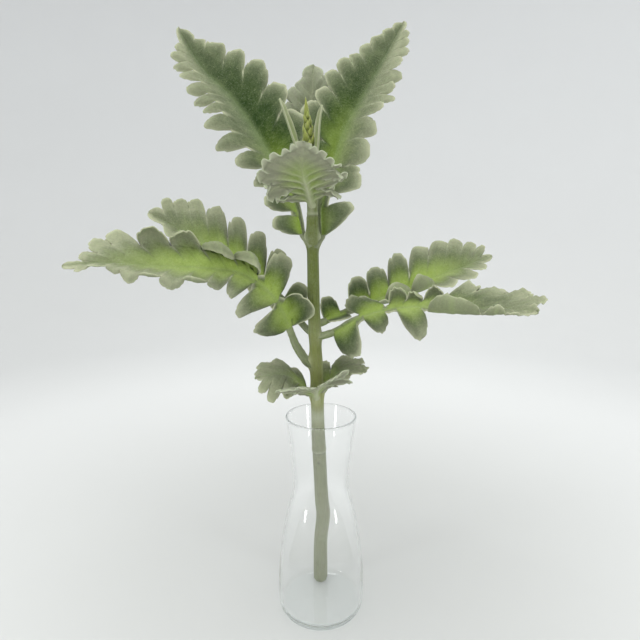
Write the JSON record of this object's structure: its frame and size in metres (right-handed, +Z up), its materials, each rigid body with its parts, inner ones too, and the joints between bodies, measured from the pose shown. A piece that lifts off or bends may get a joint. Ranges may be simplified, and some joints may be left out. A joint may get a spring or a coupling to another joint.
{
  "type": "dusty miller stem in a glass vase",
  "caption": "Cut stem with whorls of lobed, felted grey-green leaves, leaning in a clear glass carafe-shaped vase.",
  "frame": {"origin": "centre of the vase's flat foot, on the surface it stands on", "axes": "+Z up along the vase's axis; the stem leans towards -Y and lies on the rim there; the widest leaves spread along X"},
  "size_m": [0.3022, 0.1514, 0.4948],
  "materials": {
    "glass": "clear polished blown glass",
    "stem": "ridged green stem under a thin pale felt",
    "green_leaf": "soft felt of short white hairs over green leaf",
    "pale_leaf": "dense grey-white felt over green leaf",
    "young_leaf": "young leaf under fine felt",
    "bud": "yellow-green bud scales with fine hairs"
  },
  "bodies": {
    "root": {"vase": "glass", "stem": "stem", "leaf_top_left": "green_leaf", "leaf_top_right": "green_leaf", "leaf_top_back": "pale_leaf", "leaf_top_front": "pale_leaf", "leaf_mid_left_near": "green_leaf", "leaf_mid_left_far": "green_leaf", "leaf_mid_right_near": "green_leaf", "leaf_mid_right_far": "green_leaf", "leaf_low_left": "green_leaf", "leaf_low_front": "pale_leaf", "leaf_low_right": "green_leaf", "leaf_young_left": "young_leaf", "leaf_young_right": "young_leaf", "bud": "bud"}
  },
  "joints": []
}
